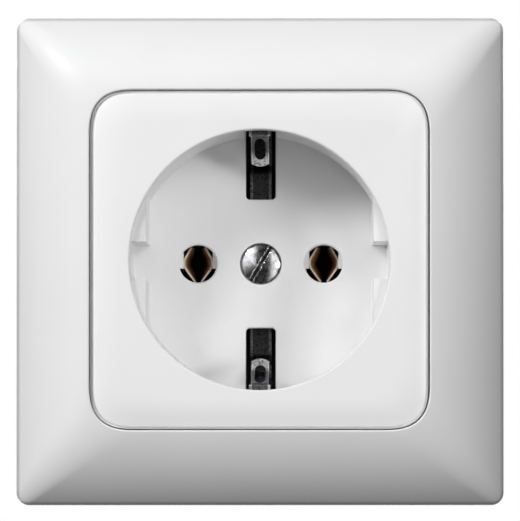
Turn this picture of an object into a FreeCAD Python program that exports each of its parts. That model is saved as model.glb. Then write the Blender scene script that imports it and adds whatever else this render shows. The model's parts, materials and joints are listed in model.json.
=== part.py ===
import FreeCAD, Part
import math
import os

from FreeCAD import Placement, Rotation, Vector

# Type F wall socket with its cover frame, in millimetres.
# X points right and Z up as the socket is looked at, and +Y points into the wall.
# The origin is the middle of the support ring's back face, which lies on the wall (y = 0).

# Plug side: the spacing and sizes that a two-pin earthed plug sets
pin_spacing = 19.0
pin_length = 19.0
pin_end_room = 0.3
pin_hole_radius = 2.85
pin_hole_chamfer = 0.25
recess_rim_radius = 19.6
recess_draft = 0.45
recess_rim_round = 0.3
recess_depth = 17.5
floor_thickness = 1.8
cup_wall = 1.6
key_depth = 2.5
key_draft = 0.35
key_step_depth = 1.5
key_notch_half = 2.8

# Centre plate
plate_border = 5.575
plate_front_y = -9.8
plate_thickness = 2.2
plate_corner_reach = 6.775
plate_blend_radius = 13.3
corner_turn = 15.66
plate_skirt_wall = 1.5
plate_skirt_depth = 3.3
plate_pillow_run = 4.0
plate_pillow_angle = 20.0
plate_crest_reach = 5.0
plate_crest_blend_radius = 11.0
plate_edge_round = 0.3

# Cover frame
border_width = 11.075
frame_corner_radius = 1.9
frame_set_back = 0.2
frame_wall = 1.7
frame_collar = 1.7
frame_edge_round = 0.5
frame_lip_round = 0.35
border_outer_angle = 48.0
border_inner_angle = 13.0
plate_gap = 0.4
ledge_width = 2.2
ledge_thickness = 1.5
rib_place = 15.0
rib_thickness = 1.4
rib_root = 0.3

# Support ring
ring_fit = 0.95
ring_thickness = 1.0
ring_corner_cut = 9.0
box_slot_inset = 4.0
box_slot_length = 5.0
box_slot_half_width = 1.9
tab_width = 6.0
tab_thickness = 1.0
tab_length = 8.0
tab_hook = 0.8
tab_hook_height = 1.0
lug_place = 4.4
lug_thickness = 1.0

# Socket base and rear cover
part_play = 0.2
base_fit = 0.2
cup_fit = 0.3
pot_wall = 2.3
flange_width = 1.6
flange_thickness = 1.2
front_wall = 1.5
contact_opening_room = 0.35
nub_inset = 0.65
nub_half = 1.1
leaf_room = 0.8
screw_head_room = 0.3
rear_cover_thickness = 2.0
wire_entry_radius = 1.6
wire_entry_mouth = 2.1
wire_entry_funnel = 0.6
contact_pad_half_width = 2.4
contact_pad_half_height = 2.2
earth_pad_half_width = 1.4
earth_pad_inset = 0.4

# Contacts and terminals, whose clamp screws press on the wires
spring_thickness = 0.8
leaf_thickness = 0.4
leaf_half_height = 2.6
leaf_front_inset = 0.65
leaf_pinch_inset = 1.1
leaf_back_inset = 0.55
leaf_front_fold = 1.2
leaf_pinch_fold = 1.15
leaf_back_fold = 0.8
leaf_pinch_share = 0.42
terminal_from_pin = 3.5
terminal_width = 5.2
terminal_depth = 9.0
terminal_end = 3.3
terminal_wire_inset = 2.0
terminal_wire_z = 9.5
terminal_front_wall = 1.0
wire_hole_radius = 1.4
clamp_screw_from_front = 4.0
clamp_screw_radius = 1.65
clamp_head_radius = 2.7
clamp_head_height = 1.6
clamp_head_stand = 0.3
clamp_slot_angle = 35.0
thread_play = 0.05
rivet_radius = 1.0
rivet_head_radius = 1.8
rivet_head_top_radius = 1.08
rivet_head_height = 0.7
rivet_head_room = 1.0
rivet_end_play = 0.4
contact_rivet_depth = 2.6
earth_rivet_depth = 2.4

# Earth bracket: its clips reach into the recess and fold over near the plate
strip_half_width = 1.6
strip_step_from_clip = 0.9
strip_step_run = 1.1
strip_step_depth = 2.5
strip_bend = 0.7
clip_half_width = 1.3
clip_reach = 5.1
clip_end_depth = 12.5
clip_knee_run = 1.4
clip_knee_rise = 1.5
clip_fold_width = 1.8
clip_fold_play = 0.3
clip_in_wall = 0.5
clip_bend = 0.8
clip_shoulder = 0.2
clip_window_half = 0.85
clip_window_top = 0.5
clip_window_end = 1.0
clip_end_round = 2.2
bracket_eye_radius = 3.6
bracket_boss_radius = 2.7
bracket_boss_length = 4.2

# Slots in the recess floor and channel in the base that the bracket runs in
earth_slot_half = 2.25
earth_slot_length = 4.8
earth_slot_corner = 0.6
channel_half = 2.4
channel_room = 1.4
channel_rib_half = 1.0
channel_rib_end = 0.6

# Earth terminal block
earth_block_half = 5.5
earth_block_depth = 4.8
earth_wire_x = 3.2
earth_wire_inset = 3.3
earth_post_half = 1.5
earth_post_inset = 2.3
earth_post_from_rise = 2.7

# Screws: the cover screw stands in the middle of the recess
screw_slot_width = 0.8
screw_slot_share = 0.7
screw_tip_share = 0.4
screw_head_dome = 0.3
screw_hole_play = 0.3
cover_screw_radius = 1.6
cover_screw_length = 9.8
cover_screw_head_radius = 3.02
cover_screw_head_height = 0.6
cover_screw_dome = 0.55
cover_screw_sink = 0.9
cover_screw_sink_play = 0.08
cover_screw_sink_flare = 0.12
cover_screw_slot_angle = 59.0
back_screw_radius = 1.25
back_screw_length = 6.0
back_screw_head_radius = 2.3
back_screw_head_height = 0.8
back_screw_slot_angle = 20.0
back_screw_upper_z = 12.0
back_screw_lower_z = -11.0

# Spreading claws, drawn for the right side
claw_base_room = 0.9
claw_width = 4.8
claw_screw_inset = 2.3
claw_screw_radius = 1.5
claw_screw_spare = 2.5
claw_screw_tip = 0.5
claw_screw_slot_depth = 1.2
claw_head_radius = 2.6
claw_head_edge = 0.65
claw_hole_radius = 1.75
claw_hole_tilt_room = 0.3
claw_seat_play = 0.05
claw_tilt = 9.0
claw_travel = 6.0
claw_front_y = 14.0
claw_length = 10.0
claw_web = 1.4
claw_sheet = 1.2
claw_side_room = 1.4
claw_collar_radius = 2.3
claw_collar_length = 2.0
claw_tooth = 0.8
claw_tooth_share = 0.9
claw_teeth = 4
claw_lug_play = 0.3

# How far a cutting shape runs past the face that it opens, and how deep fused shapes overlap
past = 1.0
joined = 0.5

# Plug side, plate and frame, worked out from the values above
pin_x = pin_spacing / 2
floor_y = plate_front_y + recess_depth
base_front_y = floor_y + floor_thickness
recess_floor_radius = recess_rim_radius - recess_draft
cup_radius = recess_rim_radius + cup_wall
key_flat_x = recess_rim_radius - key_depth
plate_back_y = plate_front_y + plate_thickness
plate_skirt_back_y = plate_front_y + plate_skirt_depth
plate_half = recess_rim_radius + plate_border
frame_half = plate_half + plate_gap + border_width
frame_front_y = plate_front_y + frame_set_back
PLATE = (plate_half, plate_half - plate_corner_reach, plate_blend_radius)
FRAME = (frame_half, frame_half - frame_corner_radius, frame_corner_radius)

# Contacts and terminals
contact_web_y = floor_y + pin_length + pin_end_room
contact_web_back_y = contact_web_y + spring_thickness
cavity_front_y = base_front_y + front_wall
leaf_apexes = [pin_hole_radius - inset for inset in (leaf_front_inset, leaf_pinch_inset, leaf_back_inset)]
leaf_folds = [leaf_front_fold, leaf_pinch_fold, leaf_back_fold]
terminal_inner_x = pin_x + terminal_from_pin
terminal_outer_x = terminal_inner_x + terminal_width
terminal_wire_x = terminal_inner_x + terminal_wire_inset
terminal_half_length = terminal_wire_z + terminal_end
terminal_front_y = contact_web_y - terminal_depth
terminal_back_y = contact_web_y
clamp_screw_y = terminal_front_y + clamp_screw_from_front
clamp_head_top = clamp_head_stand + clamp_head_height + screw_head_dome
rivet_x = terminal_inner_x + terminal_width / 2

# Base: as wide as the cup and the terminals' screw heads need
pot_bore = cup_radius + cup_fit
head_reach = math.hypot(terminal_outer_x + clamp_head_top, terminal_wire_z + clamp_head_radius)
base_radius = max(pot_bore + pot_wall, head_reach)
base_back_y = contact_web_back_y + rivet_head_height + rivet_head_room
rear_cover_back_y = base_back_y + rear_cover_thickness
side_recess_x = cup_radius + base_fit
side_recess_half = lug_place + claw_sheet / 2 + claw_side_room
ring_opening_radius = base_radius + base_fit
ring_half = frame_half - frame_wall - ring_fit
box_screw_place = ring_half - box_slot_inset
ring_front_y = -ring_thickness
flange_radius = ring_opening_radius + flange_width

# Earth bracket and earth terminal
bracket_back_y = base_front_y + spring_thickness
strip_y = base_front_y + spring_thickness / 2
strip_deep_y = strip_y + strip_step_depth
strip_deep_back_y = strip_deep_y + spring_thickness / 2
channel_back_y = strip_deep_back_y + channel_room
clip_rise = cup_radius - clip_in_wall
clip_fold_place = clip_rise - clip_fold_width
clip_fold_y = plate_back_y + clip_fold_play + spring_thickness / 2
clip_end_place = recess_rim_radius - clip_reach
clip_end_y = plate_front_y + clip_end_depth
strip_step_place = clip_end_place - strip_step_from_clip
earth_slot_inner = clip_end_place - earth_slot_length
earth_post_z = -(clip_rise - earth_post_from_rise)
earth_block_outer = -earth_post_z + earth_post_inset
earth_wire_z = -earth_block_outer + earth_wire_inset
cover_screw_seat_y = floor_y + cover_screw_sink

# Claws
claw_inner_x = side_recess_x + claw_base_room
claw_outer_x = claw_inner_x + claw_width
claw_x = claw_inner_x + claw_screw_inset
claw_back_y = claw_front_y + claw_length
claw_screw_end_y = claw_back_y + claw_screw_spare


# Simple solids
def block(x0, x1, y0, y1, z0, z1):
    return Part.makeBox(x1 - x0, y1 - y0, z1 - z0, Vector(x0, y0, z0))


def rod(radius, start, end):
    along = end - start
    return Part.makeCylinder(radius, along.Length, start, along)


def rod_y(radius, x, z, y0, y1):
    return rod(radius, Vector(x, y0, z), Vector(x, y1, z))


def cone_y(radius0, radius1, x, z, y0, y1):
    return Part.makeCone(radius0, radius1, y1 - y0, Vector(x, y0, z), Vector(0, 1, 0))


def slot_y(radius, start, end, y0, y1):
    """A round-ended slot through y0 to y1 between two (x, z) centres."""
    ends = [rod_y(radius, x, z, y0, y1) for x, z in (start, end)]
    run = Vector(end[0] - start[0], 0, end[1] - start[1])
    middle = Part.makeBox(run.Length, y1 - y0, 2 * radius, Vector(0, y0, -radius))
    turn = -math.degrees(math.atan2(run.z, run.x))
    middle.Placement = Placement(Vector(start[0], 0, start[1]), Rotation(Vector(0, 1, 0), turn))
    return ends[0].fuse([ends[1], middle]).removeSplitter()


def mirrored_x(shape):
    return shape.mirror(Vector(0, 0, 0), Vector(1, 0, 0))


def mirrored_z(shape):
    return shape.mirror(Vector(0, 0, 0), Vector(0, 0, 1))


def prism(points, direction):
    """A straight-sided solid from a closed polygon of vectors."""
    return Part.Face(Part.makePolygon(points + [points[0]])).extrude(direction)


def arc_edge(start, middle, end):
    return Part.Arc(start, middle, end).toShape()


# Soft square outlines: half size, half of the straight stretch, radius of the gentle arc
def grown(outline, distance):
    half, straight, blend = outline
    return (half + distance, straight, blend + distance)


def between(inner, outer, half):
    """The outline of this half size on the way from one outline to another."""
    share = (half - inner[0]) / (outer[0] - inner[0])
    straight = inner[1] + (outer[1] - inner[1]) * share
    blend = inner[2] + (outer[2] - inner[2]) * share
    return (half, straight, blend)


def outline_wire(outline, y):
    """A square whose corners are a gentle arc, a tight arc and a gentle arc again."""
    half, straight, blend = outline
    turn = math.radians(corner_turn)
    reach = half - straight - blend * (math.sin(turn) + 1 - math.cos(turn))
    tight = reach / (math.cos(turn) - math.sin(turn))
    x, z, heading = -straight, half, 0.0
    edges = []
    for _ in range(4):
        start = Vector(x, y, z)
        x += 2 * straight * math.cos(heading)
        z += 2 * straight * math.sin(heading)
        edges.append(Part.makeLine(start, Vector(x, y, z)))
        for radius, bend in ((blend, turn), (tight, math.pi / 2 - 2 * turn), (blend, turn)):
            centre_x = x + radius * math.sin(heading)
            centre_z = z - radius * math.cos(heading)
            points = [Vector(x, y, z)]
            for angle in (heading - bend / 2, heading - bend):
                x = centre_x - radius * math.sin(angle)
                z = centre_z + radius * math.cos(angle)
                points.append(Vector(x, y, z))
            edges.append(arc_edge(*points))
            heading -= bend
    return Part.Wire(edges)


def soft_prism(outline, y0, y1):
    return Part.Face(outline_wire(outline, y0)).extrude(Vector(0, y1 - y0, 0))


def soft_loft(sections):
    return Part.makeLoft([outline_wire(outline, y) for outline, y in sections], True, False)


# Turned and folded pieces
def turned(edges):
    """Revolve a closed profile, drawn with X as radius, about the Y axis."""
    face = Part.Face(Part.Wire(edges))
    return face.revolve(Vector(0, 0, 0), Vector(0, 1, 0), 360)


def line_edges(points):
    return [Part.makeLine(Vector(*a), Vector(*b)) for a, b in zip(points, points[1:])]


def screw(head_radius, head_height, dome, radius, length, slot_angle):
    """A slotted screw: underside of the head at y = 0, head towards -Y, shank towards +Y."""
    tip = radius * screw_tip_share
    ball = (head_radius ** 2 + dome ** 2) / (2 * dome)
    half_turn = math.asin(head_radius / ball) / 2
    top = -head_height - dome
    middle = Vector(ball * math.sin(half_turn), top + ball * (1 - math.cos(half_turn)), 0)
    crown = arc_edge(Vector(0, top, 0), middle, Vector(head_radius, -head_height, 0))
    rest = line_edges([
        (head_radius, -head_height, 0),
        (head_radius, 0, 0),
        (radius, 0, 0),
        (radius, length - tip, 0),
        (radius - tip, length, 0),
        (0, length, 0),
        (0, top, 0),
    ])
    body = turned([crown] + rest)
    depth = head_height * screw_slot_share + dome
    corner = Vector(-head_radius, top, -screw_slot_width / 2)
    slot = Part.makeBox(2 * head_radius, depth, screw_slot_width, corner)
    slot.Placement = Placement(Vector(0, 0, 0), Rotation(Vector(0, 1, 0), -slot_angle))
    return body.cut(slot)


def aimed(shape, origin, direction):
    """Move a piece drawn along +Y so that it starts at origin and runs along direction."""
    piece = shape.copy()
    piece.Placement = Placement(origin, Rotation(Vector(0, 1, 0), direction))
    return piece


def folded_strip(points, bends, thickness, place):
    """The face of a folded strip's edge, from its centreline in a plane that place() maps to space."""
    def unit(a, b):
        length = math.hypot(b[0] - a[0], b[1] - a[1])
        return ((b[0] - a[0]) / length, (b[1] - a[1]) / length)

    def side(offset):
        run = unit(points[0], points[1])
        here = (points[0][0] - run[1] * offset, points[0][1] + run[0] * offset)
        pieces = []
        for before, corner, after, bend in zip(points, points[1:], points[2:], bends):
            into, out = unit(before, corner), unit(corner, after)
            cross = into[0] * out[1] - into[1] * out[0]
            turn = math.atan2(cross, into[0] * out[0] + into[1] * out[1])
            sign = math.copysign(1.0, turn)
            back = bend * math.tan(abs(turn) / 2)
            start = (corner[0] - into[0] * back, corner[1] - into[1] * back)
            centre = (start[0] - into[1] * bend * sign, start[1] + into[0] * bend * sign)
            radius = bend - offset * sign
            p = (start[0] - into[1] * offset, start[1] + into[0] * offset)
            away = unit(centre, corner)
            m = (centre[0] + away[0] * radius, centre[1] + away[1] * radius)
            end = (corner[0] + out[0] * back, corner[1] + out[1] * back)
            q = (end[0] - out[1] * offset, end[1] + out[0] * offset)
            pieces += [(here, None, p), (p, m, q)]
            here = q
        run = unit(points[-2], points[-1])
        last = (points[-1][0] - run[1] * offset, points[-1][1] + run[0] * offset)
        return pieces + [(here, None, last)]

    left, right = side(thickness / 2), side(-thickness / 2)
    back = [(q, m, p) for p, m, q in reversed(right)]
    loop = left + [(left[-1][2], None, back[0][0])] + back + [(back[-1][2], None, left[0][0])]
    edges = []
    for p, m, q in loop:
        if m is None:
            edges.append(Part.makeLine(place(*p), place(*q)))
        else:
            edges.append(arc_edge(place(*p), place(*m), place(*q)))
    return Part.Face(Part.Wire(edges))


# Cover frame
def arc_profile(angles, radius, half_at, y_at, start_angle):
    """Half size and depth along an arc that has the given slope angles."""
    steps = []
    for angle in angles:
        a, s = math.radians(angle), math.radians(start_angle)
        half = half_at - radius * (math.sin(s) - math.sin(a))
        y = y_at - radius * (math.cos(a) - math.cos(s))
        steps.append((half, y))
    return steps


def spread_angles(first, last, steps):
    return [first + (last - first) * i / steps for i in range(steps + 1)]


def make_cover_frame():
    opening = grown(PLATE, plate_gap)
    lip = grown(opening, frame_lip_round)
    outer_angle, inner_angle = math.radians(border_outer_angle), math.radians(border_inner_angle)
    round_in = frame_edge_round * (1 - math.sin(outer_angle))
    run = FRAME[0] - round_in - lip[0]
    sweep = run / (math.sin(outer_angle) - math.sin(inner_angle))
    border_y = frame_front_y + sweep * (math.cos(inner_angle) - math.cos(outer_angle))
    side_y = border_y + frame_edge_round * math.cos(outer_angle)

    edge = arc_profile(spread_angles(90, border_outer_angle, 3), frame_edge_round, FRAME[0], side_y, 90)
    border = arc_profile(
        spread_angles(border_outer_angle, border_inner_angle, 6),
        sweep, FRAME[0] - round_in, border_y, border_outer_angle,
    )
    outside = soft_prism(FRAME, 0, side_y).fuse([
        soft_loft([(between(lip, FRAME, half), y) for half, y in edge]),
        soft_loft([(between(lip, FRAME, half), y) for half, y in border]),
    ])

    collar = grown(opening, frame_collar)
    inside_half = FRAME[0] - frame_wall
    centre_half = FRAME[0] - round_in - sweep * math.sin(outer_angle)
    centre_y = border_y + sweep * math.cos(outer_angle)
    inner_sweep = sweep - frame_wall
    first = math.degrees(math.asin((inside_half - centre_half) / inner_sweep))
    last = math.degrees(math.asin((collar[0] - centre_half) / inner_sweep))
    hollow = []
    for angle in spread_angles(first, last, 5):
        half = centre_half + inner_sweep * math.sin(math.radians(angle))
        y = centre_y - inner_sweep * math.cos(math.radians(angle))
        hollow.append((half, y))
    inside = (inside_half, FRAME[1] - frame_wall / 2, FRAME[2] - frame_wall / 2)
    room = soft_loft([(between(collar, inside, half), y) for half, y in hollow])
    room = room.fuse(soft_prism(inside, hollow[0][1], past))
    ledge_y = plate_skirt_back_y
    ledge_back_y = ledge_y + ledge_thickness
    room = room.cut(soft_prism(collar, frame_front_y - past, ledge_back_y))

    lip_angles = spread_angles(0, 90, 3)
    flare = []
    for angle in lip_angles:
        a = math.radians(angle)
        widening = frame_lip_round * (1 - math.cos(a))
        y = frame_front_y + frame_lip_round * (1 - math.sin(a))
        flare.append((grown(opening, widening), y))
    shell = outside.cut(room)
    for mouth in (
        soft_prism(opening, flare[0][1], ledge_y),
        soft_loft(flare),
        soft_prism(lip, frame_front_y - past, frame_front_y),
        soft_prism(grown(opening, -ledge_width), ledge_y - joined, ledge_back_y + past),
    ):
        shell = shell.cut(mouth)

    rib_in = opening[0] - ledge_width / 2
    rib_out = collar[0]
    t = rib_thickness / 2
    rib_y = ledge_back_y - rib_root
    ribs = []
    for side in (-1, 1):
        for place in (-rib_place, rib_place):
            low, high = sorted((side * rib_in, side * rib_out))
            ribs.append(block(low, high, rib_y, ring_front_y, place - t, place + t))
            ribs.append(block(place - t, place + t, rib_y, ring_front_y, low, high))
    return shell.fuse(ribs).removeSplitter()


# Centre plate with its cup
def recess_tool():
    """The space of the round recess, with its rounded rim and the two side keys left standing."""
    rim, low = recess_rim_radius, recess_floor_radius
    r = recess_rim_round
    top = plate_front_y - past
    corner = math.sqrt(0.5)
    rim_arc = arc_edge(
        Vector(rim + r, plate_front_y, 0),
        Vector(rim + r - r * corner, plate_front_y + r - r * corner, 0),
        Vector(rim, plate_front_y + r, 0),
    )
    edges = line_edges([(0, top, 0), (rim + r, top, 0), (rim + r, plate_front_y, 0)])
    edges.append(rim_arc)
    edges += line_edges([(rim, plate_front_y + r, 0), (low, floor_y, 0), (0, floor_y, 0), (0, top, 0)])
    space = turned(edges)
    key_y = plate_front_y + key_step_depth
    reach = recess_rim_radius + past
    for side in (-1, 1):
        profile = [
            Vector(side * key_flat_x, key_y, 0),
            Vector(side * reach, key_y, 0),
            Vector(side * reach, floor_y + past, 0),
            Vector(side * (key_flat_x - key_draft), floor_y + past, 0),
        ]
        for direction in (-1, 1):
            shift = Vector(0, 0, direction * key_notch_half)
            points = [point + shift for point in profile]
            space = space.cut(prism(points, Vector(0, 0, direction * reach)))
    return space


def make_centre_plate():
    angle = math.radians(plate_pillow_angle)
    round_in = plate_edge_round * (1 - math.sin(angle))
    sweep = plate_pillow_run / math.sin(angle)
    top_half = PLATE[0] - round_in - plate_pillow_run
    pillow_y = plate_front_y + sweep * (1 - math.cos(angle))
    edge_y = pillow_y + plate_edge_round * math.cos(angle)
    crest = (top_half, top_half - plate_crest_reach, plate_crest_blend_radius)

    edge = arc_profile(spread_angles(90, plate_pillow_angle, 3), plate_edge_round, PLATE[0], edge_y, 90)
    pillow = arc_profile(
        spread_angles(plate_pillow_angle, 0, 4),
        sweep, PLATE[0] - round_in, pillow_y, plate_pillow_angle,
    )
    body = soft_prism(PLATE, plate_skirt_back_y, edge_y).fuse([
        soft_loft([(between(crest, PLATE, half), y) for half, y in edge]),
        soft_loft([(between(crest, PLATE, half), y) for half, y in pillow]),
    ])
    body = body.cut(soft_prism(grown(PLATE, -plate_skirt_wall), plate_skirt_back_y + past, plate_back_y))
    cup = rod_y(cup_radius, 0, 0, plate_back_y - joined, base_front_y)
    body = body.fuse(cup).cut(recess_tool()).removeSplitter()

    sink_radius = cover_screw_head_radius + cover_screw_sink_play
    tools = [
        cone_y(sink_radius + cover_screw_sink_flare, sink_radius, 0, 0, floor_y, cover_screw_seat_y),
        rod_y(cover_screw_radius + screw_hole_play, 0, 0, floor_y, base_front_y + past),
    ]
    wide = pin_hole_radius + pin_hole_chamfer
    for x in (-pin_x, pin_x):
        tools.append(rod_y(pin_hole_radius, x, 0, floor_y - past, base_front_y + past))
        tools.append(cone_y(wide, pin_hole_radius, x, 0, floor_y, floor_y + pin_hole_chamfer))
    tools += [earth_slot(), mirrored_z(earth_slot())]
    return body.cut(tools).removeSplitter()


def earth_slot():
    """The space of the upper earth slot, whose two inner corners are round."""
    c = earth_slot_corner
    inner_x, inner_z = earth_slot_half - c, earth_slot_inner + c
    outer_z = cup_radius + past
    end_y = base_front_y + past
    pieces = [
        block(-inner_x, inner_x, plate_back_y, end_y, earth_slot_inner, outer_z),
        block(-earth_slot_half, earth_slot_half, plate_back_y, end_y, inner_z, outer_z),
        rod_y(c, inner_x, inner_z, plate_back_y, end_y),
        rod_y(c, -inner_x, inner_z, plate_back_y, end_y),
    ]
    return pieces[0].fuse(pieces[1:]).removeSplitter()


# Support ring
def make_support_ring():
    half, cut = ring_half, ring_corner_cut
    corners = [
        (half, half - cut), (half - cut, half), (cut - half, half), (-half, half - cut),
        (-half, cut - half), (cut - half, -half), (half - cut, -half), (half, cut - half),
    ]
    sheet = prism([Vector(x, ring_front_y, z) for x, z in corners], Vector(0, ring_thickness, 0))
    through = (ring_front_y - past, past)
    opening = rod_y(ring_opening_radius, 0, 0, *through)
    web_x, web_half = side_recess_x + base_fit, side_recess_half - base_fit
    for side in (-1, 1):
        low, high = sorted((side * web_x, side * (ring_opening_radius + past)))
        opening = opening.cut(block(low, high, *through, -web_half, web_half))
    sheet = sheet.cut(opening)

    slot_run = box_slot_length / 2 - box_slot_half_width
    inner, outer = box_screw_place - slot_run, box_screw_place + slot_run
    holes = []
    for side in (-1, 1):
        holes.append(slot_y(box_slot_half_width, (side * inner, 0), (side * outer, 0), *through))
        holes.append(slot_y(box_slot_half_width, (0, side * inner), (0, side * outer), *through))
        tilt_end = claw_x + claw_hole_tilt_room
        holes.append(slot_y(claw_hole_radius, (side * claw_x, 0), (side * tilt_end, 0), *through))
    sheet = sheet.cut(holes)

    tabs = []
    for quarter in range(4):
        inside, outside = ring_opening_radius, ring_opening_radius + tab_thickness
        wall = block(inside, outside, ring_front_y / 2, tab_length, -tab_width / 2, tab_width / 2)
        hook = block(inside - tab_hook, outside, tab_length - tab_hook_height, tab_length,
                     -tab_width / 2, tab_width / 2)
        tab = wall.fuse(hook)
        tab.rotate(Vector(0, 0, 0), Vector(0, 1, 0), 45 + 90 * quarter)
        tabs.append(tab)

    lugs = []
    outline = claw_lug_outline()
    for side in (-1, 1):
        for place in (-lug_place, lug_place):
            points = [Vector(side * x, y, place - lug_thickness / 2) for x, y in outline]
            lugs.append(prism(points, Vector(0, 0, lug_thickness)))
    return sheet.fuse(tabs + lugs).removeSplitter()


def claw_path(step):
    """Where the claw's front inner corner is at this share of its travel, on the right side."""
    seat_y = claw_pivot_y()
    tilt = math.radians(claw_tilt) * step
    dx = -claw_screw_inset
    dy = claw_front_y - seat_y - claw_travel * step
    x = claw_x + dx * math.cos(tilt) + dy * math.sin(tilt)
    y = seat_y + dy * math.cos(tilt) - dx * math.sin(tilt)
    return x, y


def claw_lug_outline():
    """The guide lug that the claw rides on: it stays just inside the corner's path."""
    web_x = side_recess_x + base_fit
    points = [(web_x, -ring_thickness / 2)]
    end_x, end_y = claw_path(1.0)
    points.append((end_x - claw_lug_play, -ring_thickness / 2))
    for step in (1.0, 0.5, 0.0):
        x, y = claw_path(step)
        points.append((x - claw_lug_play, y))
    points.append((web_x, claw_front_y))
    return points


def claw_pivot_y():
    """The centre of the ball seat under the claw screw's head, in front of the ring."""
    ball = claw_head_radius + claw_seat_play
    return ring_front_y - math.sqrt(ball ** 2 - claw_hole_radius ** 2)


# Socket base
def side_recesses(x, half, y0, y1):
    tools = []
    for side in (-1, 1):
        low, high = sorted((side * x, side * (flange_radius + past)))
        tools.append(block(low, high, y0, y1, -half, half))
    return tools


def make_socket_base():
    flange_y = ring_front_y - flange_thickness
    body = rod_y(base_radius, 0, 0, flange_y, base_back_y)
    body = body.fuse(rod_y(flange_radius, 0, 0, flange_y, ring_front_y))
    body = body.cut(rod_y(pot_bore, 0, 0, flange_y - past, base_front_y))
    end_y = base_back_y + past
    tools = side_recesses(side_recess_x, side_recess_half, flange_y - past, end_y)

    for quarter in range(4):
        pocket = block(ring_opening_radius - tab_hook - base_fit, flange_radius + past,
                       tab_length - tab_hook_height - base_fit, tab_length + base_fit,
                       -tab_width / 2 - base_fit, tab_width / 2 + base_fit)
        pocket.rotate(Vector(0, 0, 0), Vector(0, 1, 0), 45 + 90 * quarter)
        tools.append(pocket)

    room_x = max(leaf_apexes) + leaf_thickness + leaf_room
    room_z = leaf_half_height + leaf_room
    head_radius = clamp_head_radius + screw_head_room
    for side in (-1, 1):
        low, high = sorted((side * (pin_x - room_x), side * (terminal_inner_x + past)))
        tools.append(block(low, high, cavity_front_y, end_y, -room_z, room_z))
        low, high = sorted((side * (terminal_inner_x - part_play), side * (terminal_outer_x + part_play)))
        half = terminal_half_length + part_play
        tools.append(block(low, high, terminal_front_y - part_play, end_y, -half, half))
        for z in (-terminal_wire_z, terminal_wire_z):
            start = Vector(side * terminal_outer_x, clamp_screw_y, z)
            tools.append(rod(head_radius, start, start + Vector(side * base_radius, 0, 0)))
        tools.append(contact_opening(side * pin_x))

    tools.append(bracket_channel())
    tools.append(rod_y(bracket_eye_radius + part_play, 0, 0, base_front_y - past, bracket_back_y))
    boss_end = bracket_back_y + bracket_boss_length + part_play
    tools.append(rod_y(bracket_boss_radius + part_play, 0, 0, base_front_y, boss_end))
    screw_end = cover_screw_seat_y + cover_screw_length
    tools.append(rod_y(cover_screw_radius + screw_hole_play, 0, 0, base_front_y, screw_end + joined))

    half = earth_block_half + part_play
    low, high = -earth_block_outer - part_play, -earth_block_outer + earth_block_depth + part_play
    tools.append(block(-half, half, terminal_front_y - part_play, end_y, low, high))
    post = earth_post_half + part_play
    tools.append(block(-post, post, base_front_y, terminal_front_y, earth_post_z - post, earth_post_z + post))
    for x in (-earth_wire_x, earth_wire_x):
        start = Vector(x, clamp_screw_y, -earth_block_outer)
        tools.append(rod(head_radius, start, start + Vector(0, 0, -base_radius)))
    for z in (back_screw_upper_z, back_screw_lower_z):
        tools.append(rod_y(back_screw_radius + thread_play, 0, z, base_back_y - back_screw_length, end_y))
    return body.cut(tools).removeSplitter()


def contact_opening(x):
    """The hole in front of one contact, with two nubs that guide the pin."""
    radius = pin_hole_radius + contact_opening_room
    opening = rod_y(radius, x, 0, base_front_y - past, cavity_front_y)
    for side in (-1, 1):
        low, high = sorted((x + side * (pin_hole_radius - nub_inset), x + side * (radius + past)))
        opening = opening.cut(block(low, high, base_front_y - past, cavity_front_y, -nub_half, nub_half))
    return opening


def bracket_channel():
    """The channel across the base, with low ribs that the bracket's strip lies on."""
    reach = clip_rise + spring_thickness / 2 + part_play
    w = channel_rib_half
    channel = block(-channel_half, channel_half, base_front_y - past, channel_back_y, -reach, reach)
    rib_reach = strip_step_place - channel_rib_end
    channel = channel.cut(block(-w, w, bracket_back_y, channel_back_y, -rib_reach, rib_reach))
    rib_start = strip_step_place + strip_step_run + channel_rib_end / 2
    outer_rib = block(-w, w, strip_deep_back_y, channel_back_y, rib_start, reach)
    return channel.cut([outer_rib, mirrored_z(outer_rib)])


# Rear cover with the pads that press on the contacts and on the earth block
def make_rear_cover():
    end_y = rear_cover_back_y + past
    body = rod_y(base_radius, 0, 0, base_back_y, rear_cover_back_y)
    body = body.cut(side_recesses(side_recess_x, side_recess_half, base_back_y - past, end_y))
    w, h = contact_pad_half_width, contact_pad_half_height
    pads = [block(x - w, x + w, contact_web_back_y, base_back_y, -h, h) for x in (-pin_x, pin_x)]
    w = earth_pad_half_width
    low, high = -earth_block_outer + earth_pad_inset, -earth_block_outer + earth_block_depth - earth_pad_inset
    pads.append(block(-w, w, terminal_back_y, base_back_y, low, high))
    body = body.fuse(pads)

    sides = (-1, 1)
    entries = [(a * terminal_wire_x, b * terminal_wire_z) for a in sides for b in sides]
    entries += [(a * earth_wire_x, earth_wire_z) for a in sides]
    tools = []
    funnel_y = rear_cover_back_y - wire_entry_funnel
    for x, z in entries:
        tools.append(rod_y(wire_entry_radius, x, z, base_back_y - past, end_y))
        tools.append(cone_y(wire_entry_radius, wire_entry_mouth, x, z, funnel_y, rear_cover_back_y))
    for z in (back_screw_upper_z, back_screw_lower_z):
        tools.append(rod_y(back_screw_radius + screw_hole_play, 0, z, base_back_y - past, end_y))
        tools.append(rod_y(back_screw_head_radius + part_play, 0, z, back_screw_seat_y(), end_y))
    return body.cut(tools).removeSplitter()


def back_screw_seat_y():
    """The rear cover screws' heads end level with the cover's back."""
    return rear_cover_back_y - back_screw_head_height - screw_head_dome


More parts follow.
